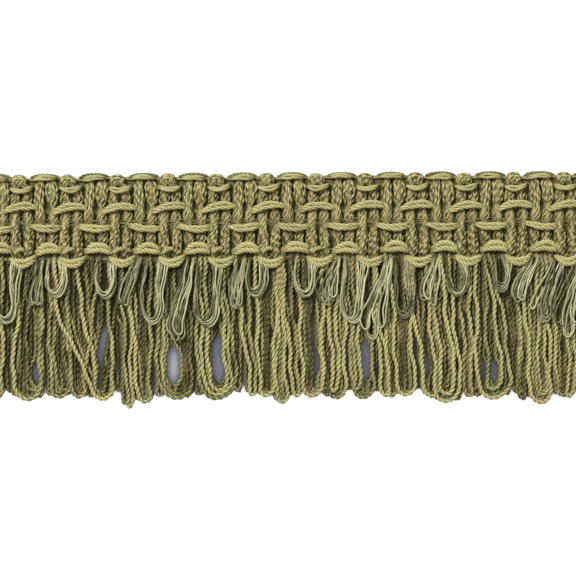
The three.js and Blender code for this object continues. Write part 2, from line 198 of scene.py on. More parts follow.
# The skirt's front loops from the left end: left and right leg at the root, left and right leg above the tip,
# drop below the heading, tone of each leg, and how late the loop leans on its way down.
FRONT_LOOPS = [
    (-57.2, -54.9, -57.2, -54.9, 25.1, 0.66, 0.83, 1.0),
    (-51.0, -47.0, -52.8, -47.6, 25.5, 1.00, 0.66, 1.0),
    (-49.5, -47.4, -50.3, -47.4, 23.8, 0.33, 0.66, 1.0),
    (-45.8, -42.9, -45.6, -41.8, 25.1, 0.66, 0.66, 1.0),
    (-45.1, -43.7, -44.7, -42.6, 23.9, 0.50, 0.33, 1.0),
    (-42.4, -36.0, -41.6, -39.1, 25.1, 0.58, 0.66, 1.0),
    (-44.7, -34.3, -37.7, -33.5, 25.5, 1.28, 0.75, 2.6),
    (-40.6, -32.2, -36.8, -34.9, 24.3, 1.07, 0.16, 1.3),
    (-32.0, -30.0, -31.0, -30.2, 27.1, 0.66, 0.92, 1.0),
    (-30.4, -26.4, -28.9, -26.6, 26.1, 1.28, 0.66, 1.5),
    (-28.5, -27.2, -28.2, -27.2, 24.7, 0.16, -0.01, 1.0),
    (-25.2, -19.3, -25.0, -18.5, 25.4, 0.66, 0.33, 1.0),
    (-24.3, -20.0, -23.9, -19.3, 24.7, 1.07, -0.01, 1.0),
    (-17.7, -11.4, -17.3, -10.2, 25.5, 0.66, 0.50, 1.0),
    (-16.8, -12.3, -16.4, -11.1, 24.8, 1.14, 0.75, 1.0),
    (-15.8, -13.1, -15.2, -11.9, 24.0, 0.83, 0.83, 1.0),
    (-10.0, -8.1, -7.3, -6.3, 24.9, 1.21, 0.66, 1.2),
    (-6.2, -1.7, -5.6, -2.9, 25.0, 1.21, 1.00, 1.0),
    (-4.8, -3.7, -4.7, -3.7, 24.0, -0.09, -0.18, 1.0),
    (-1.7, -1.3, -2.4, -0.4, 26.3, 0.92, 1.00, 1.5),
    (-1.0, 0.6, 1.0, 2.1, 25.1, 0.92, 0.50, 1.6),
    (1.9, 6.7, 2.7, 6.5, 25.1, 1.00, 1.21, 1.0),
    (3.1, 4.0, 3.4, 4.4, 24.0, 0.41, -0.01, 1.0),
    (5.4, 11.0, 7.4, 10.8, 25.5, 0.16, 1.21, 1.0),
    (7.7, 9.1, 8.5, 9.6, 24.2, 1.00, 0.92, 1.3),
    (11.6, 16.6, 12.2, 16.2, 25.5, 0.66, 0.66, 1.0),
    (12.5, 13.5, 12.6, 13.6, 23.9, 0.66, 1.00, 1.0),
    (16.4, 16.8, 18.0, 19.6, 25.1, 0.92, 1.00, 2.0),
    (18.7, 19.8, 19.1, 20.6, 25.2, 1.14, 0.33, 1.0),
    (19.8, 22.5, 20.6, 24.1, 25.0, 1.21, 1.07, 1.0),
    (21.0, 22.0, 21.6, 22.7, 23.8, -0.18, -0.18, 1.0),
    (23.5, 27.5, 26.2, 28.7, 25.3, 1.28, 0.33, 1.8),
    (26.6, 31.0, 28.1, 32.9, 26.3, 1.00, 1.07, 1.4),
    (27.7, 29.3, 29.3, 31.9, 24.9, 0.83, 1.28, 1.2),
    (28.5, 29.7, 30.0, 31.0, 23.7, 0.33, 0.50, 1.0),
    (32.9, 34.7, 33.9, 35.2, 25.3, 0.66, 0.83, 1.0),
    (36.0, 38.3, 36.1, 42.4, 25.7, 1.07, 0.75, 0.6),
    (37.6, 37.4, 38.1, 40.8, 24.0, 0.58, 0.92, 0.6),
    (42.9, 44.3, 43.2, 44.5, 24.8, 0.16, 0.83, 1.0),
    (44.1, 45.3, 44.6, 45.6, 25.9, 0.50, 0.33, 1.0),
    (45.1, 49.5, 46.4, 50.3, 26.6, 1.28, 0.83, 1.4),
    (46.6, 48.7, 47.4, 49.5, 25.1, 0.50, 0.83, 1.0),
    (47.8, 48.5, 48.0, 48.8, 24.6, 1.21, 0.16, 1.0),
    (50.3, 53.0, 51.6, 53.4, 25.3, 0.92, 0.33, 1.0),
    (53.4, 54.7, 53.7, 54.9, 25.5, 1.07, 0.83, 1.0),
    (55.9, 57.6, 55.9, 57.6, 25.3, 0.66, 0.50, 1.0),
]

# Gaps between the skirt's cords that can be seen through: middle, half width, half height and slant.
GAPS = [
    (-48.5, -29.2, 0.67, 2.5, 0.0),
    (-35.6, -23.2, 0.65, 4.4, 0.2),
    (-31.8, -18.0, 0.58, 1.5, 0.0),
    (-22.1, -28.0, 1.16, 4.0, 0.0),
    (-13.4, -26.7, 1.16, 4.8, 0.0),
    (-3.1, -23.2, 0.39, 2.5, 0.0),
    (5.3, -27.6, 0.62, 2.5, 0.0),
    (14.8, -27.3, 0.96, 4.2, 0.0),
    (26.6, -28.4, 0.42, 2.3, 0.0),
    (33.7, -19.7, 0.58, 1.9, 0.0),
    (37.4, -29.4, 0.39, 2.5, 0.0),
    (39.5, -29.4, 0.58, 2.5, 0.0),
    (52.8, -24.6, 0.42, 1.5, 0.0),
]
CORD = 0.97
CORD_SIZES = (0.84, 1.04)  # the least and the most of that
CORD_TURN = 2.1  # one full turn of the two plies
CORD_TURNS = (0.9, 1.2)
CORD_TIGHTEST = 0.53  # half the width of a rear loop
# how much painted shade falls between a skirt cord's plies
CORD_GROOVE_SHADE = 0.5
STEPS_FRONT = 7  # points for each turn of a ply
STEPS_MIDDLE = 5.2
STEPS_REAR = 4.4
REAR_Z = 0.54  # the heights of the layers, from the back
MIDDLE_Z = 1.0
INNER_Z = 1.35
FRONT_Z = 1.75
LEAN_RISES = 0.3  # how much higher a front loop lies for each millimetre that it leans, up to this
LEAN_MOST = 0.6
TONE_RISES = 0.3
TONES_LEVEL = 1.6  # the sum of the legs' tones that neither raises nor lowers it
TIP_SINKS = 0.6  # how far a loop's tip sinks towards the floor, and over what length
TIP_LENGTH = 5.0
REAR_PITCH = 1.88
REAR_STRAY = 0.3
REAR_TONES = (0.7, 0.5)
MIDDLE_PITCH = 4.1
MIDDLE_STRAY = 0.9
MIDDLE_TONES = (0.75, 0.6, 0.4)
REAR_SHORTER = (0.3, 0.8)  # how much shorter a rear loop is than it may be
LEAST_DROP = 24.4  # a rear loop may always hang as far as this
BESIDE_REACH = 0.8  # a front loop hides a rear one up to so far beside it
BESIDE_FREE = 0.3
BESIDE_SHORTER = 0.8
BESIDE_SLOPE = 0.3
INNER_INSET = 0.65  # of a cord, from the front loop to the inner one, and at its tip
INNER_TIP_INSET = 1.1
INNER_ROOTS = 0.2  # of the way between the front loop's roots
# painted shade on the inner loop, which lies behind its front loop
INNER_PAINTED_SHADE = 0.3
INNER_TIGHTEST = 0.2
SWAY_LENGTH = 5  # below the roots, over which a loop's sway grows
ROOT_LENGTH = 2.6  # and over which it comes up to its layer's height
LEG_POINTS = 40
TIP_POINTS = 26
LEG_EASES = 0.6  # how far a leg eases in and out, from 0 to 1
SECOND_SWAY = 0.4  # the shares of a loop's second wave, and of its wave in height
HEIGHT_SWAY = 0.6
FRONT_SWAY = 0.27
HIDDEN_SWAY = 0.14
WAVE_STARTS = 6.28  # about one turn
SKIRT_ROOT_Y = -6.3
ROOT_Z = 0.9
GAP_SPAN = 1.3  # a leg bends from so many half heights off a gap's middle, and fully so many nearer
GAP_SOFTNESS = 0.8
TONE_TABLE = 0.75  # the middle tone of the table, and what it becomes
TONE_MIDDLE = 0.68
TONE_SPREAD = 1.3  # how much further than in the table the cords' tones lie from the middle one
# painted shade that darkens the skirt's cords near the heading
ROOT_PAINTED_SHADE = 0.36  # under the heading, and over what length it fades
ROOT_SHADE_LENGTH = 19
PATCH_TONE = 0.2

# The valance's loops from the left end: middle at the heading, half width there, middle at the foot, half
# width there, and drop below the heading.
VALANCE_LOOPS = [
    (-53.5, 2.7, -53.9, 2.1, 10.5),
    (-47.4, 0.8, -48.7, 1.5, 8.4),
    (-44.1, 1.9, -44.3, 1.9, 5.5),
    (-34.5, 2.1, -34.9, 2.1, 5.9),
    (-28.7, 0.6, -31.2, 1.2, 7.6),
    (-24.9, 2.2, -26.0, 2.1, 10.7),
    (-18.5, 0.8, -21.6, 1.9, 14.7),
    (-15.0, 2.5, -15.4, 2.3, 11.3),
    (-9.0, 0.9, -10.0, 1.3, 8.2),
    (-5.5, 2.0, -6.0, 1.9, 5.7),
    (3.7, 2.3, 3.3, 2.1, 5.7),
    (9.5, 0.7, 7.3, 1.7, 8.2),
    (13.1, 2.3, 12.3, 2.1, 10.7),
    (19.5, 0.8, 16.2, 2.3, 14.3),
    (22.5, 2.1, 22.3, 1.7, 9.9),
    (28.6, 0.7, 27.3, 1.7, 8.2),
    (32.2, 2.1, 32.5, 2.1, 5.7),
    (41.2, 1.7, 41.0, 1.5, 4.9),
    (47.6, 0.8, 44.3, 1.9, 7.8),
    (52.2, 1.1, 48.9, 2.2, 11.1),
    (56.2, 0.8, 53.4, 2.5, 14.1),
]
VALANCE_YARNS = 7
VALANCE_YARN = 0.36
VALANCE_Z = 2.65
VALANCE_ROOT_Y = -6.6
VALANCE_RISE = 0.6  # how much higher a filament may lie than another
VALANCE_STEP = 0.4
VALANCE_SWAY = 0.22
VALANCE_POINTED = 2.0
NARROW_ROOT = 1.2  # a loop that is narrower than this at its root hangs edge on
ROOT_STRAY = 0.5
NARROW_HALVES = (0.25, 0.5)  # of the loop's half width, a filament's in a narrow loop
NARROW_SHIFT = 0.9
NARROW_TIP_RISE = 1.5
NARROW_SIDE_RISE = 1.1
OPEN_PARTING = 2.1  # how far the filaments of an open loop part at its right root
OPEN_INNER = 0.68  # of the loop's half width, its inmost filament's
OPEN_SHIFT = -0.22
OPEN_TIP_RISES = (0.8, 1.6)
FILAMENT_TONE = 0.02
FILAMENT_TONE_SPREAD = 0.95
FILAMENT_TONE_POWER = 1.4  # above 1, so that most of them are dark
# painted light and shade: a valance loop is painted darker along its left leg and brighter along its right
FILAMENT_PAINTED_LIGHT = 0.5  # how much brighter a loop's right end is than its left
FILAMENT_MIDDLE = 0.55


def lerp(a, b, share):
    return a + (b - a) * share


def smooth(share):
    share = np.clip(share, 0.0, 1.0)
    return share * share * (3 - 2 * share)


def resample(points, step):
    """The line again, with its points evenly spaced about a step apart."""
    along = np.concatenate([[0.0], np.cumsum(np.linalg.norm(np.diff(points, axis=0), axis=1))])
    at = np.linspace(0.0, along[-1], max(3, int(round(along[-1] / step)) + 1))
    return np.stack([np.interp(at, along, points[:, k]) for k in range(3)], axis=1), at


def frames(points):
    """Two directions square to a line at each of its points, for a line that is nowhere upright."""
    tangent = np.gradient(points, axis=0)
    tangent /= np.linalg.norm(tangent, axis=1)[:, None]
    side = np.cross(tangent, (0.0, 0.0, 1.0))
    side /= np.linalg.norm(side, axis=1)[:, None]
    return side, np.cross(side, tangent)


PLY_SHARE = {2: 0.285, 3: 0.25}  # a ply's radius beside its cord's diameter
# Painted highlight and shade on cords: a ply is painted brighter on top of its cord and darker beside it.
PAINTED_CREST_LIGHT = 0.2  # how much brighter a ply is on top of its cord than beside it
CREST_LIGHT_LEVEL = 0.3  # where up its cord's side, from -1 to 1, a ply has the cord's own tone
POINTS_PER_TURN = 8

# Painted light and shade: how open a yarn is to the light, painted into its colour through a point attribute.
# It grows from one height to the other, and round the yarn from its inner side, so low yarns and grooves get
# painted shade.
PAINTED_SHADE_LOW_Z = 0.6
PAINTED_SHADE_HIGH_Z = 2.4
LOWEST_PAINTED_LIGHT = 0.5
GROOVE_SHADE_EDGE = 0.55
GROOVE_SHADE_SOFTNESS = 1.15
END_PAINTED_LIGHT = 0.3


class Yarns:
    """Collects yarns as closed tubes, and makes one mesh of them."""

    def __init__(self, name, sides):
        self.name = name
        self.sides = sides
        self.points, self.faces, self.uvs, self.shades, self.painted_lights = [], [], [], [], []
        self.count = 0

    def tube(self, line, radius, shade, outward=(0.0, 0.0, 1.0), flat=1.0, groove_shade=1.0):
        """A tube of that radius along a line. Its u runs along in millimetres, and v once round.

        shade is its tone, and flat its height beside its width. outward points away from the yarns that it
        lies against, and the last argument is how much painted shade it gets between them, up to 1. It also
        gets painted shade low down."""
        n, sides = len(line), self.sides
        side, up = frames(line)
        angle = np.arange(sides) * 2 * math.pi / sides
        ring = side[:, None] * np.cos(angle)[None, :, None] + up[:, None] * np.sin(angle)[None, :, None]
        wide = np.broadcast_to(np.asarray(radius, float), (n,))[:, None, None]
        shell = line[:, None] + wide * (ring - (1 - flat) * up[:, None] * np.sin(angle)[None, :, None])
        facing = (ring * np.broadcast_to(outward, (n, 3))[:, None]).sum(axis=2)
        # painted shade: darker low down, and where the tube faces into the yarns it lies against
        height = smooth((shell[:, :, 2] - PAINTED_SHADE_LOW_Z) / (PAINTED_SHADE_HIGH_Z - PAINTED_SHADE_LOW_Z))
        groove_painted_light = smooth((facing + GROOVE_SHADE_EDGE) / GROOVE_SHADE_SOFTNESS)
        painted_light_here = lerp(1.0, groove_painted_light, groove_shade) * lerp(LOWEST_PAINTED_LIGHT, 1.0, height)
        self.painted_lights += [painted_light_here.ravel(), np.full(2, END_PAINTED_LIGHT)]
        self.points += [shell.reshape(-1, 3), line[[0, -1]]]
        first = self.count
        cells = np.arange((n - 1) * sides)
        left = first + cells
        right = first + cells // sides * sides + (cells % sides + 1) % sides
        around = np.arange(sides)
        ahead = (around + 1) % sides
        last = first + (n - 1) * sides
        foot, head = np.full(sides, first + n * sides), np.full(sides, first + n * sides + 1)
        start = np.stack([first + ahead, first + around, foot], axis=1)
        end = np.stack([last + around, last + ahead, head], axis=1)
        along = np.concatenate([[0.0], np.cumsum(np.linalg.norm(np.diff(line, axis=0), axis=1))])
        u = along[cells // sides]
        u_next = along[cells // sides + 1]
        v = (cells % sides) / sides
        v_next = v + 1 / sides
        quad_uv = np.stack([u, v, u, v_next, u_next, v_next, u_next, v], axis=1).reshape(-1, 2)
        quads = np.stack([left, right, right + sides, left + sides], axis=1)
        self.faces.append((quads, np.concatenate([start, end])))
        self.uvs.append((quad_uv, np.zeros((sides * 6, 2))))
        tone = np.broadcast_to(np.asarray(shade, float), (n,))
        self.shades += [np.repeat(tone, sides), tone[[0, -1]]]
        self.count += n * sides + 2

    def cord(self, line, diameter, turn, shade, phase=0.0, plies=2, step=None, groove_shade=1.0):
        """A twisted cord: plies that wind round a line, one turn of them to each turn of length.

        diameter and shade may change along the line."""
        given = np.linspace(0, 1, len(line))
        line, along = resample(line, step or turn / POINTS_PER_TURN)
        share = np.linspace(0, 1, len(line))
        diameter = np.interp(share, given, np.broadcast_to(diameter, given.shape))
        tone = np.interp(share, given, np.broadcast_to(shade, given.shape))
        side, up = frames(line)
        ply = diameter * PLY_SHARE[plies]
        for k in range(plies):
            angle = -2 * math.pi * (along / turn + phase + k / plies)
            out = side * np.cos(angle)[:, None] + up * np.sin(angle)[:, None]
            away = (diameter / 2 - ply)[:, None]
            # painted highlight on top of the cord, painted shade at its sides
            ply_painted_tone = tone + PAINTED_CREST_LIGHT * (out[:, 2] - CREST_LIGHT_LEVEL)
            self.tube(line + out * away, ply, ply_painted_tone, out, groove_shade=groove_shade)

    def mesh(self):
        points = np.concatenate(self.points) * MM
        quads = np.concatenate([f[0] for f in self.faces])
        tris = np.concatenate([f[1] for f in self.faces])
        uvs = np.concatenate([u[0] for u in self.uvs] + [u[1] for u in self.uvs])
        mesh = bpy.data.meshes.new(self.name)
        loops = np.concatenate([quads.ravel(), tris.ravel()])
        starts = np.concatenate([np.arange(len(quads)) * 4, len(quads) * 4 + np.arange(len(tris)) * 3])
        mesh.vertices.add(len(points))
        mesh.vertices.foreach_set("co", points.ravel())
        mesh.loops.add(len(loops))
        mesh.loops.foreach_set("vertex_index", loops.astype(np.int32))
        mesh.polygons.add(len(starts))
        mesh.polygons.foreach_set("loop_start", starts.astype(np.int32))
        layer = mesh.uv_layers.new(name="yarn")
        mesh.update(calc_edges=True)
        layer.data.foreach_set("uv", uvs.ravel().astype(np.float32))
        # shade is the yarn's tone; the second attribute is its painted light and shade
        for key, values in (("shade", self.shades), ("painted_light", self.painted_lights)):
            attribute = mesh.attributes.new(key, "FLOAT", "POINT")
            attribute.data.foreach_set("value", np.concatenate(values).astype(np.float32))
        mesh.polygons.foreach_set("use_smooth", np.ones(len(starts), bool))
        mesh.validate()
        return mesh

    def piece(self, material, slot, *nodes):
        piece = bpy.data.objects.new(self.name, self.mesh())
        bpy.context.scene.collection.objects.link(piece)
        piece.data.materials.append(material)
        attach(piece, "root")
        if nodes:
            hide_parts(*nodes)
        return piece


# Materials.


class Nodes:
    """Short calls for a material's nodes."""

    def __init__(self, name):
        self.material = bpy.data.materials.new(name)
        self.material.use_nodes = True
        self.tree = self.material.node_tree
        self.shader = self.tree.nodes["Principled BSDF"]

    def add(self, kind, inputs=(), **settings):
        node = self.tree.nodes.new(kind)
        for key, value in settings.items():
            setattr(node, key, value)
        for key, value in dict(inputs).items():
            if isinstance(value, bpy.types.NodeSocket):
                self.tree.links.new(value, node.inputs[key])
            else:
                node.inputs[key].default_value = value
        return node

    def math(self, operation, a, b=0.0, c=0.0):
        return self.add("ShaderNodeMath", {0: a, 1: b, 2: c}, operation=operation).outputs[0]

    def mix(self, share, a, b):
        return self.add("ShaderNodeMix", {0: share, 6: a, 7: b}, data_type="RGBA").outputs[2]

    def ramp(self, value, low, high, top=1.0):
        """Nothing where the value is at low, top where it is at high, and even between them."""
        return self.add("ShaderNodeMapRange", {0: value, 1: low, 2: high, 3: 0.0, 4: top}).outputs[0]

    def set(self, **values):
        for key, value in values.items():
            socket = self.shader.inputs[key.replace("_", " ")]
            if isinstance(value, bpy.types.NodeSocket):
                self.tree.links.new(value, socket)
            else:
                socket.default_value = value


# The yarns' colour and fibres, as noise.
BROAD_SCALE = 450.0
FIBRE_SCALE = 1.6
FIBRE_STRETCH = 0.5  # of the fibres' noise along the yarn
NOISE_SHARE = 0.8  # how strongly each of the two noises counts in the tone
TONE_LEVEL = 0.8
SPOT_SCALE = 110.0
SPOT_EDGE = (0.58, 0.72)
FIBRE_BUMP = 0.00006


def yarn_material(name, painted_shade_colour, dark, light, tan, patches, roughness, fibre, lay):
    """Yarn: fibres that run at a slant round a ply, a slow change of colour from yarn to yarn, and painted
    shade.

    Its first colour is the painted shade, mixed in where the yarn's painted light attribute is low, and
    patches is how strongly patches of tan show. fibre is the number of fibre bundles round a ply, and lay how
    many of them pass in a millimetre along it."""
    n = Nodes(name)
    uv = n.add("ShaderNodeUVMap", uv_map="yarn").outputs[0]
    part = n.add("ShaderNodeSeparateXYZ", {0: uv})
    u, v = part.outputs[0], part.outputs[1]
    shade = n.add("ShaderNodeAttribute", attribute_name="shade").outputs["Fac"]
    painted_light_share = n.add("ShaderNodeAttribute", attribute_name="painted_light").outputs["Fac"]
    place = n.add("ShaderNodeTexCoord").outputs["Object"]
    broad = n.add("ShaderNodeTexNoise", {"Vector": place, "Scale": BROAD_SCALE, "Detail": 3.0}).outputs[0]
    turn = n.math("ADD", n.math("MULTIPLY", v, float(fibre)), n.math("MULTIPLY", u, lay))
    across = n.add("ShaderNodeCombineXYZ", {0: turn, 1: n.math("MULTIPLY", u, FIBRE_STRETCH)}).outputs[0]
    fibres = n.add("ShaderNodeTexNoise", {"Vector": across, "Scale": FIBRE_SCALE, "Detail": 2.0}).outputs[0]
    tone = n.math("ADD", n.math("MULTIPLY", fibres, NOISE_SHARE), n.math("MULTIPLY", broad, NOISE_SHARE))
    tone = n.math("ADD", tone, n.math("SUBTRACT", shade, TONE_LEVEL))
    tone = n.add("ShaderNodeClamp", {0: tone}).outputs[0]
    color = n.mix(tone, dark, light)
    spots = n.add("ShaderNodeTexNoise", {"Vector": place, "Scale": SPOT_SCALE, "Detail": 2.0}).outputs[0]
    is_tan = n.ramp(spots, *SPOT_EDGE, top=patches)
    # painted shade: the colour turns to the painted shade colour where the yarn's painted light is low
    color = n.mix(painted_light_share, painted_shade_colour, n.mix(is_tan, color, tan))
    bump = n.add("ShaderNodeBump", {"Height": fibres, "Strength": 0.5, "Distance": FIBRE_BUMP}).outputs[0]
    n.set(Base_Color=color, Roughness=roughness, Sheen_Weight=0.1, Sheen_Roughness=0.4, Normal=bump)
    n.set(Sheen_Tint=(0.9, 0.88, 0.6, 1.0), Specular_IOR_Level=0.5, Specular_Tint=(1.0, 0.95, 0.65, 1.0))
    return n.material


def srgb(r, g, b):
    """A colour in linear values, from 0 to 255 ones, by the sRGB curve."""
    linear = [c / 255 / 12.92 if c < 11 else ((c / 255 + 0.055) / 1.055) ** 2.4 for c in (r, g, b)]
    return (*linear, 1.0)


# The heading. Its small waves don't fit its repeat, so that no two repeats look the same.


def pick_x(pick):
    return (pick - (PICKS - 1) / 2) * PICK_PITCH


def kind_of(pick):
    return (pick + FIRST_KIND) % 4


def float_middle(warp):
    """The middle of one float of a warp; the others lie whole repeats away."""
    kinds = [k + 4 if k < warp["covers"][0] else k for k in warp["covers"]]
    return pick_x((kinds[0] + kinds[-1]) / 2 - FIRST_KIND) + warp["slip"]


def along_float(warp, x):
    """How far x is along the nearest float, from -1 to 1, and past those off the float."""
    middle = float_middle(warp)
    return (x - middle - np.round((x - middle) / REPEAT) * REPEAT) / warp["reach"]


def near_end(x):
    """How near x is to a cut end of the trim, up to 1 at the end itself."""
    return smooth((np.abs(x) + LEFT + END_REACH) / END_REACH)


def warp_line(warp):
    """A warp's middle line: up over its picks, and down under the others."""
    x = np.arange(LEFT, -LEFT + WARP_STEP / 100, WARP_STEP)
    signed = along_float(warp, x)
    along = np.abs(signed)
    inside = np.minimum(along, 1)
    tilt = warp["rise"] * np.where(along < 1, signed, np.sign(signed) * np.maximum(2 - along, 0))
    y = warp["y"] + warp["bow"] * (0.5 - inside**2) + tilt
    high = warp["crest"] - warp["cord"] / 2
    arch = high - FLOAT_SAGS * inside**3
    down = np.maximum(smooth((along - DIVE_FROM) / DIVE_LENGTH), near_end(x))
    places = np.arange(LEFT - REPEAT, REPEAT - LEFT, REPEAT / 2)
    y += np.interp(x, places, rng.uniform(-FLOAT_STRAY, FLOAT_STRAY, len(places)))
    return x, y, lerp(arch, warp["low"], down)


def make_warps(yarns, warps):
    for row, warp in warps:
        x, row_y, row_z = warp_line(warp)
        floats = np.round((x - float_middle(warp)) / REPEAT)
        for cord in (-1, 1):
            wander = WARP_WANDERS[0] * np.sin(x * 0.83 + row * 2.1 + cord)
            wander = wander + WARP_WANDERS[1] * np.sin(x * 2.3 + row + cord * 2)
            pinch = smooth((np.abs(along_float(warp, x)) - PINCH_FROM) / PINCH_LENGTH)
            lapped = WARP_LAPS * cord * np.sin(x * 0.66 + row * 1.9)
            y = row_y + cord * warp["apart"] / 2 * (1 - PINCH_CLOSER * pinch) + wander
            z = row_z + lapped
            line = np.stack([x, y, z], axis=1)
            shade = WARP_TONE + UPPER_CORD_TONE * cord + FLOAT_TONES * np.sin(floats * 2.3 + row)
            thickness = warp["cord"] * (1 - PINCH_THINNER * pinch)
            turn = warp["cord"] * warp["turn"]
            phase = row * 0.37 + cord * 0.2
            look = {"plies": WARP_PLIES, "step": WARP_POINTS, "groove_shade": WARP_GROOVE_SHADE}
            yarns.cord(line, thickness, turn, shade, phase, **look)


def bell(y, middle, reach):
    return np.exp(-(((y - middle) / reach) ** 2))


def upper_share(y):
    """1 in the heading's upper part, 0 in its lower one, and between them on the way."""
    return smooth((y - UPPER_Y) / UPPER_LENGTH)


def pick_profile(pick, y):
    """A pick's height and width, and how far it is drawn in, from 0 to 1, at y."""
    kind = kind_of(pick)
    rows = sorted(WARPS, key=lambda warp: warp["y"])
    at = [warp["y"] for warp in rows]
    heights = [PICK_LOW_Z if kind in warp["covers"] else PICK_HIGH_Z for warp in rows]
    z = np.interp(y, at, heights)
    for k in range(len(at) - 1):
        inside = (y >= at[k]) & (y <= at[k + 1])
        share = (y[inside] - at[k]) / (at[k + 1] - at[k])
        z[inside] = lerp(heights[k], heights[k + 1], smooth(share))
    drawn = BINDER_NIP * bell(y, BINDER_Y, BINDER_NIP_REACH)
    for warp in rows:
        strength = 1.0 if kind in warp["covers"] else warp["nip"]
        drawn = np.maximum(drawn, strength * bell(y, warp["y"], WARP_NIP_REACH))
    wide = lerp(PICK_WIDTH_LOWER, PICK_WIDTHS[kind], upper_share(y))
    narrow = lerp(PICK_NARROW, PICK_NARROW_TOP if kind in (0, 3) else PICK_NARROW, upper_share(y))
    return z, lerp(wide, narrow, drawn), drawn


def pick_middle(pick, y):
    """A pick's middle line, with its width, half its height and how far it is drawn in."""
    kind = kind_of(pick)
    z, width, drawn = pick_profile(pick, y)
    side = 1 if kind in (1, 3) else -1
    most = side * KNOB_LEAN + KNOB_SHIFT if kind in (1, 2) else side * PAIR_LEAN
    lean = smooth((y - LEAN_FROM_Y) / LEAN_LENGTH) * most
    stray = PICK_STRAY * np.sin(pick * 5.3 + 0.5 * y)
    width = width * (1 + PICK_SWELLS * np.sin(pick * 3.1 + 0.8 * y))
    middle = np.stack([pick_x(pick) + lean + stray, y, z], axis=1)
    return middle, width, lerp(*PICK_HALF_HEIGHT, drawn), drawn


def strand_line(pick, top_angle, y):
    """One strand of a pick, from its angle round the pick's middle at the top."""
    kind = kind_of(pick)
    middle, width, tall, drawn = pick_middle(pick, y)
    sway = np.sin(y * 1.9 + pick * 1.7 + top_angle * 3) + 0.6 * np.sin(y * 3.7 + pick + top_angle * 7)
    sway = sway * PICK_SWAYS[kind] * (1 - SWAY_NIPPED * drawn)
    turns = (np.maximum(y, TURNS_CHANGE_Y) - TOP_TURN_Y) / PICK_TURNS_TOP[kind]
    turns = turns + (np.minimum(y, TURNS_CHANGE_Y) - TURNS_CHANGE_Y) / PICK_TURNS[kind]
    angle = top_angle + 2 * math.pi * turns + sway
    outward = np.stack([np.sin(angle), 0 * angle, np.cos(angle)], axis=1)
    reach = np.stack([width / 2 - STRAND / 2, 0 * angle, tall - STRAND / 2], axis=1)
    line = middle + reach * outward
    line[:, 0] += SWAY_ASIDE * sway
    return line, outward[:, 2]


def turn_line(line, back, bulge, rise):
    """A strand's turn round the top edge, from the end of its line up one pick to its line down the next."""
    half = (back[0, 0] - line[-1, 0]) / 2
    angle = np.linspace(*TURN_SPAN, TURN_POINTS) * math.pi
    x = line[-1, 0] + half * (1 - np.cos(angle))
    y = line[-1, 1] + (bulge * half + LEAST_BULGE) * np.sin(angle) ** TURN_ROUNDNESS
    z = lerp(line[-1, 2], back[0, 2], angle / math.pi) + rise * np.sin(angle)
    return np.stack([x, y, z], axis=1)


def strand_tones(tone, y, on_top):
    """A strand's tones along a pick: painted shade beside the pick, and darker in the heading's lower part.
    """
    return tone + SIDE_PAINTED_SHADE * (on_top - SIDE_SHADE_LEVEL) - LOWER_DARKER * smooth((UPPER_Y - y) / UPPER_LENGTH)


def whole_strand(pick, k, up, is_pair):
    """A strand's line and tones, up its pick and, in a pair, round the top edge and down the next pick."""
    kind = kind_of(pick)
    top_angle = 2 * math.pi * (k / STRANDS + pick * 0.37)
    line, on_top = strand_line(pick, top_angle, up)
    tone = STRAND_TONE + STRAND_TONE_SPREAD * math.sin(pick * 2.3 + k * 1.9) + KIND_TONES[kind]
    tones = strand_tones(tone, up, on_top)
    if not is_pair:
        return line, tones
    back, back_on_top = strand_line(pick + 1, -top_angle, up[::-1])
    back_tone = tone - KIND_TONES[kind] + KIND_TONES[kind_of(pick + 1)]
    outer = math.sin(pick * 1.3 + k * 2.0)
    if kind == 1:
        turn = turn_line(line, back, KNOB_BULGE + BULGE_SPREAD * outer, KNOB_RISE)
        turn_tone = tone + (KNOB_TONE - KNOB_TONE_SPREAD * outer)
    else:
        turn = turn_line(line, back, FLAT_BULGE + BULGE_SPREAD * outer, FLAT_RISE)
        turn_tone = tone + FLAT_TONE
    back_tones = strand_tones(back_tone, up[::-1], back_on_top)
    turn_tones = np.full(len(turn), turn_tone)
    return np.concatenate([line, turn, back]), np.concatenate([tones, turn_tones, back_tones])


def make_picks(yarns, first, last):
    """The weft from one pick to the next, two picks at a time, joined where they turn round the top edge."""
    for pick in range(first, last):
        kind = kind_of(pick)
        is_pair = kind in (1, 3) and pick + 1 < PICKS
        if kind in (0, 2) and pick > 0:
            continue
        up = np.arange(PICK_FEET[kind], TOP_TURN_Y, PICK_STEP)
        for k in range(2 if is_pair else 1):
            middle, width, _, _ = pick_middle(pick + k, up)
            yarns.tube(middle, width / 2 - CORE_INSET, CORE_TONE, flat=CORE_FLAT)
        for k in range(STRANDS):
            line, tones = whole_strand(pick, k, up, is_pair)
            points, along = resample(line, STRAND_STEP)
            tones = np.interp(np.linspace(0, 1, len(points)), np.linspace(0, 1, len(tones)), tones)
            soft = np.exp(-(((points[:, 1] - SOFT_Y) / SOFT_REACH) ** 4))
            bead = np.sin(along * 2 * math.pi / STRAND_BEADS[kind] + k * 2.4 + pick) * (1 - SOFTENED * soft)
            radius = STRAND / 2 * (1 + BEAD_SWELLS * bead)
            # the beads' swells carry painted highlights
            yarns.tube(points, radius, tones + BEAD_PAINTED_HIGHLIGHT * bead, groove_shade=lerp(*GROOVE_SHADES, soft)[:, None])


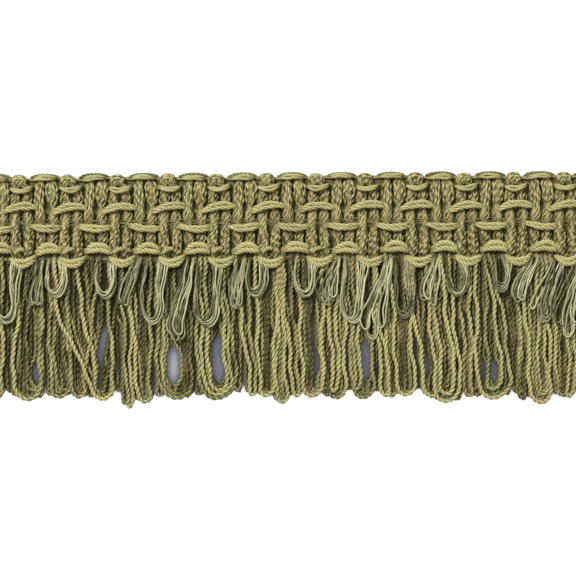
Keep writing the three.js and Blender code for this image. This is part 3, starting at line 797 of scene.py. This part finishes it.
def make_edge(yarns):
    """The weft that shows round the top edge: a few arcs over each pair of picks that the top warp covers."""
    for pick in range(-1, PICKS):
        if kind_of(pick) != 3:
            continue
        middle = pick_x(pick) + PICK_PITCH / 2 + EDGE_SHIFT
        for k, (half, top) in enumerate(EDGE_ARCS):
            angle = np.linspace(*EDGE_SPAN, EDGE_POINTS) * math.pi
            x = np.clip(middle - half * np.cos(angle), LEFT + EDGE_YARN, -LEFT - EDGE_YARN)
            stray = rng.uniform(-EDGE_STRAY, EDGE_STRAY)
            y = lerp(EDGE_FOOT_Y, top, np.sin(angle) ** EDGE_ROUNDNESS[0]) + stray
            z = lerp(EDGE_FOOT_Z, EDGE_Z, np.sin(angle) ** EDGE_ROUNDNESS[1]) - EDGE_LOWER * k
            line = np.stack([x, y, z], axis=1)
            yarns.cord(line, EDGE_YARN, EDGE_TURN, rng.uniform(*EDGE_TONES), rng.random(), step=EDGE_STEP)


def make_knots(yarns):
    """The weft's small coil above each float of the lowest warp."""
    first = float_middle(WARPS[-1])
    for k in range(-KNOTS_EACH_WAY, KNOTS_EACH_WAY + 1):
        middle = first + k * REPEAT + KNOT_OFF
        if abs(middle) < -LEFT - KNOT_CLEAR:
            share = np.linspace(-1, 1, KNOT_POINTS)
            y = KNOT_Y + KNOT_SLANT * share - KNOT_BOW * share**2
            z = KNOT_Z - KNOT_ARCH * share**2
            line = np.stack([middle + KNOT_HALF * share, y, z], axis=1)
            yarns.cord(line, KNOT_YARN, KNOT_YARN, KNOT_TONE, k * 0.3, step=KNOT_STEP, groove_shade=KNOT_GROOVE_SHADE)


def make_binder(yarns):
    """Fine threads that run the length over the picks, and draw them in."""
    x = np.linspace(LEFT + BINDER_THREAD, -LEFT - BINDER_THREAD, BINDER_POINTS)
    at = np.array([pick_x(pick) for pick in range(PICKS)])
    for k, off in enumerate(BINDER_THREADS):
        y = np.array([BINDER_Y + off])
        tops = [float(pick_profile(pick, y)[0][0]) + BINDER_OVER for pick in range(PICKS)]
        over = np.interp(x, at, tops)
        z = lerp(BINDER_LOW_Z, over, np.abs(np.cos(math.pi * x / PICK_PITCH)) ** BINDER_ROUNDNESS)
        z = lerp(z, BINDER_LOW_Z, near_end(x))
        wander = BINDER_WANDERS[0] * np.sin(x * 1.7 + k * 2) + BINDER_WANDERS[1] * np.sin(x * 2.9 + k)
        yarns.tube(np.stack([x, y[0] + wander, z], axis=1), BINDER_THREAD / 2, BINDER_TONE)


def ground_cloth():
    """The fine binding threads behind the floats, as one thin rippled cloth."""
    columns, rows = GROUND_CELLS
    x = np.linspace(LEFT, -LEFT, columns + 1)
    y = np.linspace(GROUND_FOOT_Y, TOP_TURN_Y, rows + 1)
    grid_x, grid_y = np.meshgrid(x, y)
    z = GROUND_Z + GROUND_RIPPLE * np.sin(grid_x * 2 * math.pi / PICK_PITCH) * np.cos(grid_y * 4.2)
    points = np.stack([grid_x, grid_y, z], axis=-1).reshape(-1, 3) * MM
    cell = np.arange(columns * rows)
    corner = cell // columns * (columns + 1) + cell % columns
    quads = np.stack([corner, corner + 1, corner + columns + 2, corner + columns + 1], axis=1)
    mesh = bpy.data.meshes.new("heading_ground")
    mesh.from_pydata(points.tolist(), [], quads.tolist())
    mesh.polygons.foreach_set("use_smooth", np.ones(len(quads), bool))
    piece = bpy.data.objects.new("heading_ground", mesh)
    bpy.context.scene.collection.objects.link(piece)
    thick = piece.modifiers.new("thick", "SOLIDIFY")
    thick.thickness = GROUND_THICK * MM
    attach(piece, "root")
    return piece


def ground_material(dark, light):
    n = Nodes("ground_threads_and_painted_shade")
    place = n.add("ShaderNodeTexCoord").outputs["Object"]
    part = n.add("ShaderNodeSeparateXYZ", {0: place})
    threads = n.math("SINE", n.math("MULTIPLY", part.outputs[1], GROUND_THREADS[0]))
    crossed = n.math("SINE", n.math("MULTIPLY", part.outputs[0], GROUND_THREADS[1]))
    weave = n.math("MULTIPLY_ADD", n.math("MULTIPLY", threads, crossed), 0.5, 0.5)
    n.set(Base_Color=n.mix(weave, dark, light), Roughness=0.9)
    n.set(Normal=n.add("ShaderNodeBump", {"Height": weave, "Strength": 0.6, "Distance": 0.0001}).outputs[0])
    return n.material


# The loops.


def loop_line(roots, tip_x, tip_y, half, root_y, z, wave, pointed=1.25, late=1.0):
    """Down from the left root, round the tip and up to the right root. A late loop leans most low down."""
    turn_y = tip_y + half * pointed
    share = np.linspace(0, 1, LEG_POINTS)
    y = lerp(root_y, turn_y, share)
    ease = lerp(share, smooth(share), LEG_EASES) ** late
    left = np.stack([lerp(roots[0], tip_x - half, ease), y], axis=1)
    right = np.stack([lerp(roots[1], tip_x + half, ease), y], axis=1)[::-1]
    angle = math.pi * (1 + np.linspace(0, 1, TIP_POINTS)[1:-1])
    tip = np.stack([tip_x + half * np.cos(angle), turn_y + (turn_y - tip_y) * np.sin(angle)], axis=1)
    line = np.concatenate([left, tip, right])
    sway, b, c, d = wave
    fall = smooth((root_y - line[:, 1]) / SWAY_LENGTH)
    waves = np.sin(line[:, 1] * 0.5 + b) + SECOND_SWAY * np.sin(line[:, 1] * 1.3 + c)
    x = line[:, 0] + fall * sway * waves
    height = z + fall * HEIGHT_SWAY * sway * np.sin(line[:, 1] * 0.7 + d)
    out = smooth((root_y - line[:, 1]) / ROOT_LENGTH)
    return np.stack([x, line[:, 1], lerp(ROOT_Z, height, out)], axis=1)


def sunk(line, tip_y):
    """The line again, sunk towards the floor as it nears its tip."""
    line = line.copy()
    line[:, 2] -= TIP_SINKS * smooth((tip_y + TIP_LENGTH - line[:, 1]) / TIP_LENGTH)
    return line


def random_wave(sway):
    """A loop's sway, and where each of its waves starts."""
    return (sway, *rng.uniform(0, WAVE_STARTS, 3))


def front_lines():
    """The front layer's loops, with their legs' tones. The brighter and the more slanting lie on top."""
    for root_left, root_right, left, right, drop, tone_left, tone_right, late in FRONT_LOOPS:
        lean = abs(left + right - root_left - root_right) / 2
        z = FRONT_Z + min(LEAN_RISES * lean, LEAN_MOST) + TONE_RISES * (tone_left + tone_right - TONES_LEVEL)
        wave = random_wave(FRONT_SWAY)
        tip_y = LOWER_EDGE_Y - drop + CORD / 2
        middle, half = (left + right) / 2, (right - left) / 2
        roots = (root_left, root_right)
        line = loop_line(roots, middle, tip_y, half, SKIRT_ROOT_Y, z, wave, late=late)
        yield sunk(line, tip_y), (tone_left, tone_right)


def inner_lines():
    """A loop close inside each front one that is wide enough, parted by the gaps, with painted shade as it
    lies behind the front one.
    """
    for root_left, root_right, left, right, drop, tone_left, tone_right, late in FRONT_LOOPS:
        half = max((right - left) / 2 - INNER_INSET * CORD, INNER_TIGHTEST)
        if (right - left) / 2 > CORD / 2:
            wave = random_wave(HIDDEN_SWAY)
            tip_y = LOWER_EDGE_Y - drop + INNER_TIP_INSET * CORD
            roots = (lerp(root_left, root_right, INNER_ROOTS), lerp(root_left, root_right, 1 - INNER_ROOTS))
            line = loop_line(roots, (left + right) / 2, tip_y, half, SKIRT_ROOT_Y, INNER_Z, wave, late=late)
            yield parted(sunk(line, tip_y)), (tone_left - INNER_PAINTED_SHADE, tone_right - INNER_PAINTED_SHADE)


def hidden_drop(x):
    """How far a rear loop may hang there: as far as the front loop before it, and less beside it."""
    longest = LEAST_DROP
    for _, _, left, right, drop, *_ in FRONT_LOOPS:
        beside = abs(x - (left + right) / 2) - (right - left) / 2
        if beside < BESIDE_REACH:
            shorter = 0.0 if beside < BESIDE_FREE else BESIDE_SHORTER
            longest = max(longest, drop - shorter - max(beside, 0.0) * BESIDE_SLOPE)
    return longest


def rear_lines(pitch, z, tones, stray):
    """A layer of narrow loops side by side, behind the front ones and parted by the gaps."""
    count = int(LENGTH / pitch)
    for k in range(count):
        x = LEFT + (k + 0.5) * LENGTH / count
        tip_x = x + rng.uniform(-stray, stray)
        drop = hidden_drop(tip_x) - rng.uniform(*REAR_SHORTER)
        wave = random_wave(HIDDEN_SWAY)
        tip_y = LOWER_EDGE_Y - drop + CORD / 2
        roots = (x - pitch / 4, x + pitch / 4)
        line = loop_line(roots, tip_x, tip_y, CORD_TIGHTEST, SKIRT_ROOT_Y, z, wave)
        yield parted(line), rng.choice(tones, 2)


def parted(line):
    """The line again, with each of its legs bent out of the gaps."""
    line = line.copy()
    legs = (line[: len(line) // 2], line[len(line) // 2 :])
    for x, y, wide, tall, slant in GAPS:
        for leg in legs:
            off = leg[:, 0] - x - slant * (leg[:, 1] - y)
            side = 1.0 if off[np.abs(leg[:, 1] - y).argmin()] > 0 else -1.0
            clear = smooth((GAP_SPAN - np.abs(leg[:, 1] - y) / tall) / GAP_SOFTNESS) * (wide + CORD / 2)
            leg[:, 0] += side * np.maximum(clear - side * off, 0.0)
    return line


def make_skirt(yarns, lines, steps):
    """Cords along those lines, each leg with its tone, and with painted shade near the heading."""
    for line, tones in lines:
        y = line[:, 1]
        turned = smooth(np.linspace(-2, 3, len(line)))
        # painted shade near the heading
        painted_root_shade = ROOT_PAINTED_SHADE * (1 - smooth((SKIRT_ROOT_Y - y) / ROOT_SHADE_LENGTH))
        patchy = PATCH_TONE * np.sin(y * 0.6 + rng.uniform(0, WAVE_STARTS)) * np.sin(y * 0.23 + turned)
        turn = CORD_TURN * rng.uniform(*CORD_TURNS)
        tone = TONE_MIDDLE + TONE_SPREAD * (lerp(*tones, turned) - TONE_TABLE) - painted_root_shade + patchy
        thick = CORD * rng.uniform(*CORD_SIZES)
        yarns.cord(line, thick, turn, tone, rng.random(), step=turn / steps, groove_shade=CORD_GROOVE_SHADE)


def make_valance(yarns):
    """Each valance loop, as filaments that part from each other more on the right of an open loop."""
    for root, open_half, tip, half, drop in VALANCE_LOOPS:
        is_narrow = open_half < NARROW_ROOT
        for k in range(VALANCE_YARNS):
            share = k / (VALANCE_YARNS - 1)
            root_left = root - open_half + rng.uniform(0, ROOT_STRAY)
            inward = rng.uniform(0, ROOT_STRAY) if is_narrow else share * OPEN_PARTING
            root_right = root + open_half - inward
            tip_y = LOWER_EDGE_Y - drop
            if is_narrow:
                tip_half = half * rng.uniform(*NARROW_HALVES)
                shift = half * rng.uniform(-NARROW_SHIFT, NARROW_SHIFT)
                tip_y = tip_y + rng.uniform(0, NARROW_TIP_RISE) + NARROW_SIDE_RISE * abs(shift)
            else:
                tip_half = half * lerp(1.0, OPEN_INNER, share)
                shift = OPEN_SHIFT * half * share
                tip_y = tip_y + share * rng.uniform(*OPEN_TIP_RISES)
            wave = random_wave(VALANCE_SWAY)
            z = VALANCE_Z + rng.uniform(0, VALANCE_RISE)
            ends = (root_left, root_right)
            line = loop_line(ends, tip + shift, tip_y, tip_half, VALANCE_ROOT_Y, z, wave, VALANCE_POINTED)
            points, along = resample(line, VALANCE_STEP)
            tone = FILAMENT_TONE + FILAMENT_TONE_SPREAD * rng.random() ** FILAMENT_TONE_POWER
            # painted light and shade from the loop's left end to its right
            tone = tone + FILAMENT_PAINTED_LIGHT * (along / along[-1] - FILAMENT_MIDDLE)
            yarns.tube(points, VALANCE_YARN / 2, tone)


# The picture.


FLOOR_REACH = 1.5
CLOSED_WITHIN = 0.03  # what lies this near, in metres, closes the floor in
CLOSED_SAMPLES = 12

# Painted shadow on the floor, by how open it is, from 0 where it is covered to 1 in the open: where its
# painted light starts, and where it is full.
PAINTED_LIT = (0.58, 0.9)
PAINTED_LIT_BELOW = (0.26, 0.42)  # below the loops' tips
PAINTED_LIT_GAP = (0.22, 0.42)  # in the skirt's gaps

# In metres in y: where the strips below the tips and above the heading start, and where the skirt's gaps do.
# The strips take less painted shadow, and the gaps take the blue-grey painted shadow.
BELOW_Y = (-0.0315, -0.0325)
ABOVE_Y = (0.0074, 0.0084)
GAPS_Y = (-0.018, -0.022)
# The paper's glow, and its painted shadow colours: near-black where deeply closed in or near the heading,
# blue-grey in the skirt's gaps.
PAPER = (1.02, 1.02, 1.02, 1.0)
PAINTED_DARK_SHADOW = (0.025, 0.022, 0.01, 1.0)
PAINTED_GAP_SHADOW = (0.14, 0.145, 0.175, 1.0)


def make_floor():
    """White paper that glows by itself, and has painted shadow only where the trim closes it in."""
    mesh = bpy.data.meshes.new("floor")
    far = FLOOR_REACH
    mesh.from_pydata([(-far, -far, 0), (far, -far, 0), (far, far, 0), (-far, far, 0)], [], [(0, 1, 2, 3)])
    floor = bpy.data.objects.new("floor", mesh)
    bpy.context.scene.collection.objects.link(floor)
    n = Nodes("floor_paper_painted_shadow")
    openness = n.add("ShaderNodeAmbientOcclusion", {"Distance": CLOSED_WITHIN}, samples=CLOSED_SAMPLES)
    closed = openness.outputs["AO"]
    place = n.add("ShaderNodeTexCoord").outputs["Object"]
    y = n.add("ShaderNodeSeparateXYZ", {0: place}).outputs[1]
    below = n.math("MULTIPLY", n.ramp(y, *BELOW_Y), n.ramp(closed, *PAINTED_LIT_BELOW))
    beyond = n.math("MAXIMUM", below, n.ramp(y, *ABOVE_Y))
    in_gap = n.math("MULTIPLY", n.ramp(y, *GAPS_Y), n.ramp(closed, *PAINTED_LIT_GAP))
    painted_shadow_colour = n.mix(in_gap, PAINTED_DARK_SHADOW, PAINTED_GAP_SHADOW)
    # painted shadow: the glow fades to the shadow colours where the floor is closed in
    glow_and_painted_shadow = n.mix(n.math("MAXIMUM", n.ramp(closed, *PAINTED_LIT), beyond), painted_shadow_colour, PAPER)
    n.set(Base_Color=(0.02, 0.02, 0.02, 1.0), Roughness=1.0, Emission_Color=glow_and_painted_shadow, Emission_Strength=1.0)
    n.set(Specular_IOR_Level=0.0)
    mesh.materials.append(n.material)


PHOTO_MM = 0.1926  # a pixel of the photograph
PHOTO_PX = 576
HEADING_MIDDLE_PX = 219.5
TILT_DEG = 0.3
LENS_MM = 135.0
SENSOR_MM = 36.0


def make_camera():
    data = bpy.data.cameras.new("camera")
    camera = bpy.data.objects.new("camera", data)
    bpy.context.scene.collection.objects.link(camera)
    data.sensor_width = SENSOR_MM
    data.lens = LENS_MM
    width = PHOTO_PX * PHOTO_MM * MM
    height = width * data.lens / data.sensor_width
    middle_y = (HEADING_MIDDLE_PX - PHOTO_PX / 2) * PHOTO_MM * MM
    camera.location = (0.0, middle_y, height)
    camera.rotation_euler = (0.0, 0.0, math.radians(-TILT_DEG))
    data.clip_end = 10.0
    bpy.context.scene.camera = camera


def make_light(name, place, size, power):
    data = bpy.data.lights.new(name, "AREA")
    data.shape = "DISK"
    data.size = size
    data.energy = power
    light = bpy.data.objects.new(name, data)
    bpy.context.scene.collection.objects.link(light)
    light.location = place
    away = np.array(place) / np.linalg.norm(place)
    light.rotation_euler = (math.acos(away[2]), 0.0, math.atan2(away[1], away[0]) + math.pi / 2)


KEY_PLACE = (-0.38, 0.42, 0.9)
KEY_SIZE = 0.3
KEY_POWER = 11.8
SKY_STRENGTH = 0.56
SKY_COLOUR = (0.95, 0.97, 1.0, 1.0)


def make_world(strength):
    world = bpy.data.worlds.new("studio")
    bpy.context.scene.world = world
    world.use_nodes = True
    sky = world.node_tree.nodes["Background"]
    sky.inputs[0].default_value = SKY_COLOUR
    sky.inputs[1].default_value = strength


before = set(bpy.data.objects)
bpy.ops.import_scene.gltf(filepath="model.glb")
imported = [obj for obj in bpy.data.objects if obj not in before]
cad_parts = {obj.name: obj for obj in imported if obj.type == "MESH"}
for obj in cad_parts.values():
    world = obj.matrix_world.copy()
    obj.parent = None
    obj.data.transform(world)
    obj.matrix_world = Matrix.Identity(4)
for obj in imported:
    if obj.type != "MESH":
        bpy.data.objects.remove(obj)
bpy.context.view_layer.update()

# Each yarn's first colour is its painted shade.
heading_yarn = yarn_material(
    "heading_yarn",
    painted_shade_colour=srgb(72, 65, 30),
    dark=srgb(76, 70, 32),
    light=srgb(184, 176, 119),
    tan=srgb(176, 150, 104),
    patches=0.15,
    roughness=0.42,
    fibre=5,
    lay=-3.0,
)
skirt_yarn = yarn_material(
    "skirt_cord",
    painted_shade_colour=srgb(64, 59, 28),
    dark=srgb(66, 62, 30),
    light=srgb(178, 172, 114),
    tan=srgb(184, 156, 114),
    patches=0.5,
    roughness=0.42,
    fibre=5,
    lay=-3.0,
)
smooth_yarn = yarn_material(
    "valance_yarn",
    painted_shade_colour=srgb(66, 63, 34),
    dark=srgb(66, 66, 40),
    light=srgb(190, 187, 142),
    tan=srgb(176, 162, 116),
    patches=0.2,
    roughness=0.32,
    fibre=6,
    lay=0.4,
)

upper = Yarns("heading_warps_upper", 5)
make_warps(upper, list(enumerate(WARPS))[:3])
lower = Yarns("heading_warps_lower", 5)
make_warps(lower, list(enumerate(WARPS))[3:])
left_picks = Yarns("heading_picks_left", 4)
make_picks(left_picks, 0, PICKS // 2 + 1)
right_picks = Yarns("heading_picks_right", 4)
make_picks(right_picks, PICKS // 2 + 1, PICKS)
make_edge(right_picks)
make_knots(right_picks)
make_binder(right_picks)
ground = ground_cloth()
# The binding threads' colours are kept dark, partly as painted shade in the recesses between the picks.
ground.data.materials.append(ground_material(srgb(66, 61, 30), srgb(112, 107, 62)))
heading_pieces = [
    upper.piece(heading_yarn, "heading_yarn"),
    lower.piece(heading_yarn, "heading_yarn"),
    left_picks.piece(heading_yarn, "heading_yarn"),
    right_picks.piece(heading_yarn, "heading_yarn"),
]
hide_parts("heading")

front_skirt = Yarns("skirt_front", 5)
make_skirt(front_skirt, front_lines(), STEPS_FRONT)
middle_skirt = Yarns("skirt_middle", 4)
make_skirt(middle_skirt, inner_lines(), STEPS_MIDDLE)
make_skirt(middle_skirt, rear_lines(MIDDLE_PITCH, MIDDLE_Z, MIDDLE_TONES, MIDDLE_STRAY), STEPS_MIDDLE)
rear_skirt = Yarns("skirt_rear", 4)
make_skirt(rear_skirt, rear_lines(REAR_PITCH, REAR_Z, REAR_TONES, REAR_STRAY), STEPS_REAR)
valance = Yarns("valance", 5)
make_valance(valance)
skirt_pieces = [
    front_skirt.piece(skirt_yarn, "skirt_cord", "skirt_loops"),
    middle_skirt.piece(skirt_yarn, "skirt_cord"),
    rear_skirt.piece(skirt_yarn, "skirt_cord"),
    valance.piece(smooth_yarn, "valance_yarn", "valance_loops"),
]

make_floor()
make_camera()
make_light("key", KEY_PLACE, KEY_SIZE, KEY_POWER)
make_world(SKY_STRENGTH)
bpy.context.scene.view_settings.view_transform = "Standard"
